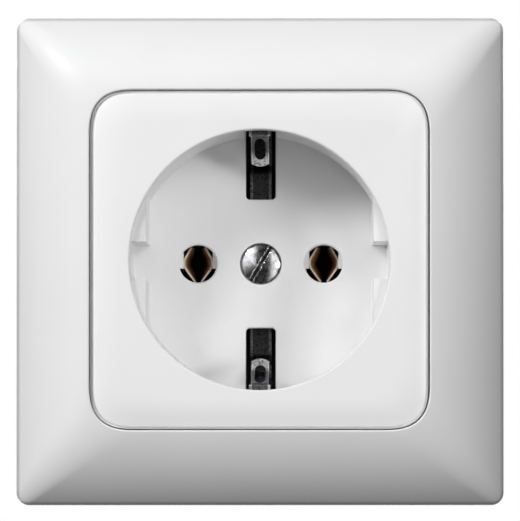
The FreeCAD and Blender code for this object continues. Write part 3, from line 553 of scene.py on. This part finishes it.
pillow_run = 4 * mm
pillow_angle = 20
edge_round = 0.45 * mm
skirt_back = plate_front + 3.3 * mm
skirt_wall = 1.5 * mm
plate_back = plate_front + 2.2 * mm
gap_step_front = plate_front + 1.2 * mm
gap_drop = 0.05 * mm
gap_step = 0.22 * mm
gap_shift = 0.05 * mm
pillow_end = math.radians(pillow_angle)
edge_in = edge_round * (1 - math.sin(pillow_end))
pillow_sweep = pillow_run / math.sin(pillow_end)
pillow_end_y = plate_front + pillow_sweep * (1 - math.cos(pillow_end))


def plate_loop(half, y):
    """The plate's outline at this half size, with corners that shrink along with it."""
    reach = corner_reach * (half / plate_half) ** corner_shrink
    return soft_square(half, reach, corner_squareness, y)


loops = []
for a in arc_steps(0, pillow_angle, 8):
    half = plate_half - edge_in - pillow_sweep * (math.sin(pillow_end) - math.sin(a))
    loops.append(plate_loop(half, plate_front + pillow_sweep * (1 - math.cos(a))))
for a in arc_steps(pillow_angle, 90, 4)[1:]:
    half = plate_half - edge_round * (1 - math.sin(a))
    loops.append(plate_loop(half, pillow_end_y + edge_round * (math.cos(pillow_end) - math.cos(a))))
# A low step narrows the gap to the frame, so that its dark line shows as wide as in the
# photograph. It reaches further out at the left and top than at the right and bottom.
loops.append(plate_loop(plate_half, gap_step_front))
for y in (gap_step_front + gap_drop, skirt_back):
    loop = plate_loop(plate_half + gap_step, y)
    loop.location = (-gap_shift, 0, gap_shift)
    loops.append(loop)
loops.append(plate_loop(plate_half - skirt_wall, skirt_back - flat_step))
loops.append(plate_loop(plate_half - skirt_wall, plate_back))
plate = skinned("socket_plate", loops)
cup_overlap = 0.5 * mm
carve(plate, skinned("cup", [
    circle(cup_radius, plate_back - cup_overlap), circle(cup_radius, cup_back),
]), "UNION")

key_flat = 17.1 * mm
key_draft = 0.35 * mm
key_top = plate_front + 1.5 * mm
key_notch = 2.8 * mm
key_outside = recess_rim_radius + past
recess_edge = 0.15 * mm
hollow = skinned("hollow", [
    circle(recess_rim_radius, plate_front - past), circle(recess_floor_radius, floor_y),
])
for side in (-1, 1):
    for level in (-1, 1):
        key = box_piece((side * key_flat, key_top, level * key_notch),
                        (side * key_outside, floor_y + past, level * key_outside))
        pick(key)
        bpy.ops.object.mode_set(mode="EDIT")
        bpy.ops.mesh.select_all(action="DESELECT")
        bpy.ops.object.mode_set(mode="OBJECT")
        for point in key.data.vertices:
            inner = abs(point.co.x) < (key_flat + key_outside) / 2
            point.select = inner and point.co.y > floor_y
        bpy.ops.object.mode_set(mode="EDIT")
        bpy.ops.transform.translate(value=(-side * key_draft, 0, 0))
        bpy.ops.object.mode_set(mode="OBJECT")
        carve(hollow, key)
round_edges(hollow, recess_edge, segments=3, angle=40)
carve(plate, hollow)
flare = [
    circle(recess_rim_radius + rim_round * (1 - math.sin(a)),
           plate_front + rim_round * (1 - math.cos(a)))
    for a in arc_steps(0, 90, 5)
]
flare.insert(0, circle(recess_rim_radius + rim_round, plate_front - past))
carve(plate, skinned("flare", flare))

pin_hole_radius = 2.85 * mm
hole_chamfer = 0.25 * mm
for x in (-pin_x, pin_x):
    carve(plate, skinned("pin_hole", [
        circle(pin_hole_radius + hole_chamfer, floor_y - past, x, steps=64),
        circle(pin_hole_radius + hole_chamfer, floor_y - flat_step, x, steps=64),
        circle(pin_hole_radius, floor_y + hole_chamfer, x, steps=64),
        circle(pin_hole_radius, cup_back + past, x, steps=64),
    ]))
screw_radius = screw_high[0]
seat_y = floor_y + 0.9 * mm
seat_play = 0.08 * mm
seat_flare = 0.2 * mm
screw_hole_radius = 1.9 * mm
carve(plate, skinned("screw_seat", [
    circle(screw_radius + seat_flare, floor_y - past, steps=64),
    circle(screw_radius + seat_play, seat_y, steps=64),
    circle(screw_hole_radius, seat_y + flat_step, steps=64),
    circle(screw_hole_radius, cup_back + past, steps=64),
]))
slot_half = 2.25 * mm
slot_inner = 9.7 * mm
slot_corner = 0.6 * mm
slot_chamfer = 0.16 * mm


def slot_loop(level, grow, y):
    low, high = sorted((level * (slot_inner - grow), level * (cup_radius + past)))
    return soft_rectangle(slot_half + grow, low, high, slot_corner, round_corner, y, steps=6)


for level in (-1, 1):
    carve(plate, skinned("slot", [
        slot_loop(level, slot_chamfer, plate_back), slot_loop(level, slot_chamfer, floor_y - flat_step),
        slot_loop(level, 0, floor_y + slot_chamfer), slot_loop(level, 0, cup_back + past),
    ]))
shade(plate)


def white_plastic(name, full_to, shaded_from, dull_tone):
    """White thermoplastic with a satin sheen. Between two distances out from the middle its colour is
    painted darker, a painted shade at its outer edge."""
    white, shader, place = new_material(name, Roughness=0.32, Specular_IOR_Level=0.25)
    split = add_node(white, "ShaderNodeSeparateXYZ", {"Vector": place})
    across, up = [
        add_node(white, "ShaderNodeMath", {0: split.outputs[axis]}, operation="ABSOLUTE").outputs[0]
        for axis in "XZ"
    ]
    out = add_node(white, "ShaderNodeMath", {0: across, 1: up}, operation="MAXIMUM").outputs[0]
    tone = add_node(white, "ShaderNodeMapRange", {
        "Value": out, "From Min": full_to, "From Max": shaded_from, "To Min": 1.0, "To Max": dull_tone,
    })
    feed(white, shader, "Base Color", add_node(white, "ShaderNodeVectorMath", {
        0: blotched(white, place, 14 * mm, ("#EAEAEA", "#ECECEC", "#EDEDEE")),
        "Scale": tone.outputs["Result"],
    }, operation="SCALE").outputs[0])
    feed(white, shader, "Roughness", worn(white, place, 5 * mm, 0.3, 0.36))
    grained(white, shader, place, 0.35 * mm, 0.0015 * mm)
    return white


# The plate's outer band is painted darker, a painted shade along the gap to the frame.
plate_edge_band = 0.25 * mm
plate_edge_tone = 0.85
plate_white = white_plastic(
    "white_plate_plastic", plate_half - plate_edge_band, plate_half, plate_edge_tone)
dress(plate, plate_white, hides="centre_plate")


# Cover screw: a slotted cheese-head screw with a low dome, nickel-chrome plated. It holds the
# centre plate against the base and shows bright with dark smudges in the middle of the recess.
hair = 0.001 * mm


def turned(name, points, steps):
    """A turned piece from (radius, depth) points, spun about the Y axis through the origin."""
    deselect()
    bpy.ops.mesh.primitive_plane_add(size=1)
    piece = bpy.context.object
    piece.name = name
    bpy.ops.object.mode_set(mode="EDIT")
    bpy.ops.mesh.select_all(action="SELECT")
    bpy.ops.mesh.merge(type="CENTER")
    bpy.ops.transform.translate(value=(points[0][0], points[0][1], 0))
    for (r0, y0), (r1, y1) in zip(points, points[1:]):
        bpy.ops.mesh.extrude_region_move(TRANSFORM_OT_translate={"value": (r1 - r0, y1 - y0, 0)})
    bpy.ops.mesh.select_all(action="SELECT")
    bpy.ops.mesh.spin(steps=steps, angle=2 * math.pi, center=(0, 0, 0), axis=(0, 1, 0))
    bpy.ops.mesh.select_all(action="SELECT")
    bpy.ops.mesh.remove_doubles(threshold=hair)
    bpy.ops.mesh.normals_make_consistent(inside=False)
    bpy.ops.object.mode_set(mode="OBJECT")
    return piece


head_side = 0.6 * mm
head_dome = 0.55 * mm
head_edge = 0.05 * mm
shank_radius = 1.6 * mm
tip_chamfer = 0.6 * mm
slot_width = 0.46 * mm
slot_depth = 0.97 * mm
slot_round = 0.22 * mm
slot_angle = 59
head_top = seat_y - head_side - head_dome
ball = (screw_radius ** 2 + head_dome ** 2) / (2 * head_dome)
head_turn = math.degrees(math.asin(screw_radius / ball))
profile = [
    (ball * math.sin(a), head_top + ball * (1 - math.cos(a)))
    for a in arc_steps(0, head_turn, 10)
]
profile += [
    (screw_radius, seat_y), (shank_radius, seat_y), (shank_radius, screw_high[1] - tip_chamfer),
    (shank_radius - tip_chamfer, screw_high[1]), (0, screw_high[1]),
]
screw = turned("domed_cover_screw", profile, steps=96)
cutter = box_piece((-2 * screw_radius, head_top - past, -slot_width / 2),
                   (2 * screw_radius, head_top + slot_depth, slot_width / 2))
pick(cutter)
cutter.rotation_euler = (0, -math.radians(slot_angle), 0)
bpy.ops.object.transform_apply(location=True, rotation=True, scale=True)
carve(screw, cutter)
# The slot's two edges are worn round, so they catch the light as bright lines. Their points are
# the ones on the dome that lie within a hair of the slot's walls.
pick(screw)
bpy.ops.object.mode_set(mode="EDIT")
bpy.ops.mesh.select_all(action="DESELECT")
bpy.ops.object.mode_set(mode="OBJECT")
tilt = math.radians(slot_angle)
for point in screw.data.vertices:
    aside = abs(point.co.x * math.sin(tilt) - point.co.z * math.cos(tilt))
    on_edge = abs(aside - slot_width / 2) < hair
    point.select = on_edge and point.co.y < head_top + head_dome + hair
bpy.ops.object.mode_set(mode="EDIT")
bpy.ops.mesh.bevel(offset=slot_round, segments=5, affect="EDGES")
bpy.ops.object.mode_set(mode="OBJECT")
# The rounding runs past the head at the slot's ends, so points out there go back to its side.
for point in screw.data.vertices:
    away = math.hypot(point.co.x, point.co.z)
    if away > screw_radius:
        point.co = (point.co.x * screw_radius / away, point.co.y, point.co.z * screw_radius / away)
round_edges(screw, head_edge)
shade(screw)
# The head is painted darker near its rim, down to 0.3 of its colour, a painted shade.
rim_shade_ring = (screw_radius - 0.34 * mm, screw_radius - 0.2 * mm)
chrome, chrome_shader, chrome_place = new_material("nickel_chromed_steel", Metallic=1.0, Roughness=0.15)
split = add_node(chrome, "ShaderNodeSeparateXYZ", {"Vector": chrome_place})
flat = add_node(chrome, "ShaderNodeCombineXYZ", {"X": split.outputs["X"], "Z": split.outputs["Z"]})
radius = add_node(chrome, "ShaderNodeVectorMath", {0: flat.outputs[0]}, operation="LENGTH")
rim_shade = add_node(chrome, "ShaderNodeMapRange", {
    "Value": radius.outputs["Value"], "From Min": rim_shade_ring[0], "From Max": rim_shade_ring[1],
    "To Min": 1.0, "To Max": 0.3,
})
feed(chrome, chrome_shader, "Base Color", add_node(chrome, "ShaderNodeVectorMath", {
    0: blotched(chrome, chrome_place, 1.1 * mm, ("#8E8E90", "#E0E0E2", "#F8F8F8"), detail=4.0),
    "Scale": rim_shade.outputs["Result"],
}, operation="SCALE").outputs[0])
feed(chrome, chrome_shader, "Roughness", worn(chrome, chrome_place, 0.9 * mm, 0.12, 0.26))
grained(chrome, chrome_shader, chrome_place, 0.5 * mm, 0.007 * mm)
dress(screw, chrome, hides="cover_screw")


# Cover frame: the outer white moulding, square, with a convex border that slopes down to the
# wall and a soft-cornered opening that the plate stands in. Its back is hollow, with a ledge
# behind the plate's edge and eight short ribs that stand on the support ring.
frame_low, frame_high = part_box("cover_frame")
frame_half = frame_high[0]
frame_front = frame_low[1]
frame_back = frame_high[1]
frame_corner = 1.9 * mm
plate_gap = 0.4 * mm
lip_round = 0.27 * mm
border_outer_angle = 48
border_inner_angle = 13
frame_edge = 1.1 * mm
frame_wall = 1.7 * mm
frame_inner_corner = 0.9 * mm
collar_wall = 1.7 * mm
ledge_width = 2.2 * mm
ledge_front = skirt_back
ledge_back = ledge_front + 1.5 * mm
opening_half = plate_half + plate_gap
lip_half = opening_half + lip_round
outer, inner = math.radians(border_outer_angle), math.radians(border_inner_angle)
border_half = frame_half - frame_edge * (1 - math.sin(outer))
sweep = (border_half - lip_half) / (math.sin(outer) - math.sin(inner))
border_end = frame_front + sweep * (math.cos(inner) - math.cos(outer))
side_y = border_end + frame_edge * math.cos(outer)
lip_reach = corner_reach + plate_gap + lip_round


def border_loop(half, y, shrink=0.0):
    """The frame's outline at this half size: soft corners near the plate, tight ones outside."""
    share = min(1.0, max(0.0, (half - lip_half) / (frame_half - lip_half)))
    reach = lip_reach + (frame_corner - lip_reach) * share - shrink
    squareness = corner_squareness + (round_corner - corner_squareness) * share
    return soft_square(half, reach, squareness, y)


def opening_loop(half, y):
    return soft_square(half, corner_reach + half - plate_half, corner_squareness, y)


loops = [opening_loop(opening_half, ledge_front)]
loops += [
    opening_loop(opening_half + lip_round * (1 - math.cos(a)),
                 frame_front + lip_round * (1 - math.sin(a)))
    for a in arc_steps(0, 90, 4)
]
for a in arc_steps(border_inner_angle, border_outer_angle, 14)[1:]:
    half = border_half - sweep * (math.sin(outer) - math.sin(a))
    loops.append(border_loop(half, border_end - sweep * (math.cos(a) - math.cos(outer))))
for a in arc_steps(border_outer_angle, 90, 4)[1:]:
    half = frame_half - frame_edge * (1 - math.sin(a))
    loops.append(border_loop(half, side_y - frame_edge * math.cos(a)))
inside_half = frame_half - frame_wall
loops.append(border_loop(frame_half, frame_back))
loops.append(border_loop(inside_half, frame_back - flat_step, frame_inner_corner))
inner_sweep = sweep - frame_wall
middle_half = border_half - sweep * math.sin(outer)
middle_y = border_end + sweep * math.cos(outer)
collar_half = opening_half + collar_wall
first = math.degrees(math.asin((inside_half - middle_half) / inner_sweep))
last = math.degrees(math.asin((collar_half - middle_half) / inner_sweep))
for a in arc_steps(first, last, 6):
    half = middle_half + inner_sweep * math.sin(a)
    loops.append(border_loop(half, middle_y - inner_sweep * math.cos(a), frame_inner_corner))
loops.append(opening_loop(collar_half, ledge_back))
loops.append(opening_loop(opening_half - ledge_width, ledge_back - flat_step))
loops.append(opening_loop(opening_half - ledge_width, ledge_front + flat_step))
surround = skinned("frame_moulding", loops, closed=True)
rib_place = 15 * mm
rib_half = 0.7 * mm
rib_root = ledge_back - 0.3 * mm
rib_end = -1 * mm
rib_inset = 0.05 * mm
rib_in = opening_half - ledge_width / 2
rib_out = collar_half - rib_inset
for side in (-1, 1):
    near_end, far_end = side * rib_in, side * rib_out
    for place in (-rib_place, rib_place):
        start, stop = place - rib_half, place + rib_half
        carve(surround, box_piece((near_end, rib_root, start), (far_end, rib_end, stop)), "UNION")
        carve(surround, box_piece((start, rib_root, near_end), (stop, rib_end, far_end)), "UNION")
shade(surround)
# The frame is painted darker towards its outer edge, a painted shade along its rounded rim.
frame_full_to = frame_half - 0.6 * mm
frame_shaded_from = frame_half - 0.25 * mm
frame_edge_tone = 0.66
frame_white = white_plastic(
    "white_frame_plastic", frame_full_to, frame_shaded_from, frame_edge_tone)
dress(surround, frame_white, hides="cover_frame")


# Studio: a pale floor below the socket, a white surround, and soft lamps. The camera stands far
# off, a little below the socket and to its right, where its view matches the photograph.
camera_distance = 2.5
camera_below = 2.0
camera_right = 0.65
picture_height = 78.2 * mm
sensor = 36.0
aim_right = 0.075 * mm
aim_up = -0.11 * mm
aim = Vector((aim_right, plate_front, aim_up))
across, below = math.radians(camera_right), math.radians(camera_below)
back = Vector((
    math.sin(across) * math.cos(below), -math.cos(across) * math.cos(below), -math.sin(below),
))
deselect()
bpy.ops.object.camera_add(location=aim + camera_distance * back)
camera = bpy.context.object
camera.rotation_euler = (-back).to_track_quat("-Z", "Y").to_euler()
camera.data.sensor_width = sensor
camera.data.lens = sensor * camera_distance / picture_height
camera.data.clip_end = 100
bpy.context.scene.camera = camera

floor_size = 6
floor_z = -0.12
deselect()
bpy.ops.mesh.primitive_plane_add(size=floor_size, location=(0, 0, floor_z))
floor = bpy.context.object
floor.name = "studio_floor"


def shown(material, dark, bright):
    """The bright strength where the room is looked at, also in metal, and the dark one as light."""
    path = add_node(material, "ShaderNodeLightPath")
    seen = path.outputs["Is Camera Ray"]
    for ray in ("Is Glossy Ray", "Is Transmission Ray"):
        seen = add_node(material, "ShaderNodeMath", {
            0: seen, 1: path.outputs[ray],
        }, operation="ADD").outputs[0]
    return add_node(material, "ShaderNodeMapRange", {
        "Value": seen, "To Min": dark, "To Max": bright,
    }).outputs["Result"]


paper, paper_shader, _ = new_material("pale_floor", Base_Color=linear("#F4F4F4"), Roughness=0.9)
paper_shader.inputs["Emission Color"].default_value = linear("#FFFFFF")
feed(paper, paper_shader, "Emission Strength", shown(paper, 0.0, 0.6))
floor.data.materials.append(paper)
floor.visible_diffuse = False


# A dark card in front of the socket, which shows only in reflections, gives the screw and the
# clips their dark patches. It is a tall strip with a lower wing at the left.
card_y = -0.1
card_left, card_right = -0.024, 0.042
card_low, card_high = -0.119, 0.12
wing_left, wing_high = -0.08, -0.006
card = joined([
    box_piece((card_left, card_y, card_low), (card_right, card_y - mm, card_high)),
    box_piece((wing_left, card_y, card_low), (card_left, card_y - mm, wing_high)),
])
card.name = "studio_card"
black, *_ = new_material("black_card", Base_Color=linear("#101010"), Roughness=1.0)
card.data.materials.append(black)
for ray in ("camera", "diffuse", "shadow", "transmission", "volume_scatter"):
    setattr(card, "visible_" + ray, False)


def lamp(name, direction, size, power, lights, distance=0.6):
    """A square soft lamp that faces the socket's middle and lights only these pieces."""
    away = Vector(direction).normalized()
    deselect()
    bpy.ops.object.light_add(type="AREA", location=away * distance)
    piece = bpy.context.object
    piece.name = name
    piece.rotation_euler = (-away).to_track_quat("-Z", "Y").to_euler()
    piece.data.size = size
    piece.data.energy = power
    group = bpy.data.collections.new(name + "_reach")
    for item in lights:
        group.objects.link(item)
    piece.light_linking.receiver_collection = group


# The frame and the inner pieces have lamps of their own, so that each could be matched by itself.
inner_pieces = [o for o in bpy.data.objects if o.type == "MESH" and o not in (surround, floor, card)]
matt_pieces = [o for o in inner_pieces if o != screw]
lamp("frame_left", (-0.50, -0.71, 0.50), 0.12, 1.2, [surround])
lamp("frame_top", (0.0, -0.75, 0.66), 0.3, 0.9, [surround])
lamp("frame_right", (0.30, -0.85, 0.50), 0.2, 0.8, [surround])
lamp("frame_low", (-0.55, -0.80, -0.20), 0.3, 1.42, [surround])
lamp("frame_graze_top", (0.0, -0.35, 0.94), 0.3, 0.2, [surround])
lamp("frame_graze_left", (-0.90, -0.35, 0.10), 0.3, 0.31, [surround])
lamp("plate_left", (-0.50, -0.71, 0.50), 0.12, 1.12, inner_pieces)
lamp("plate_right", (0.71, -0.71, 0.0), 0.12, 1.12, inner_pieces)
lamp("plate_front", (0.12, -0.97, 0.22), 0.3, 0.47, matt_pieces)
lamp("plate_high", (0.32, -0.89, 0.32), 0.12, 0.53, matt_pieces)
lamp("plate_graze_left", (-0.81, -0.50, 0.25), 0.12, 1.48, inner_pieces)
lamp("plate_low", (-0.09, -0.95, -0.29), 0.3, 0.1, matt_pieces)
lamp("back_right", (0.42, 0.82, 0.4), 0.4, 2.4, inner_pieces + [surround])
lamp("back_left", (-0.42, 0.82, 0.4), 0.4, 2.4, inner_pieces + [surround])
lamp("floor_top", (0.1, -0.25, 1.0), 0.3, 3.0, [floor], distance=0.9)

world = bpy.data.worlds.new("white_room")
bpy.context.scene.world = world
world.use_nodes = True
ambient = 0.05
sky = world.node_tree.nodes["Background"]
sky.inputs["Color"].default_value = linear("#FFFFFF")
feed(world, sky, "Strength", shown(world, ambient, 1.0))
bpy.context.scene.view_settings.view_transform = "Standard"
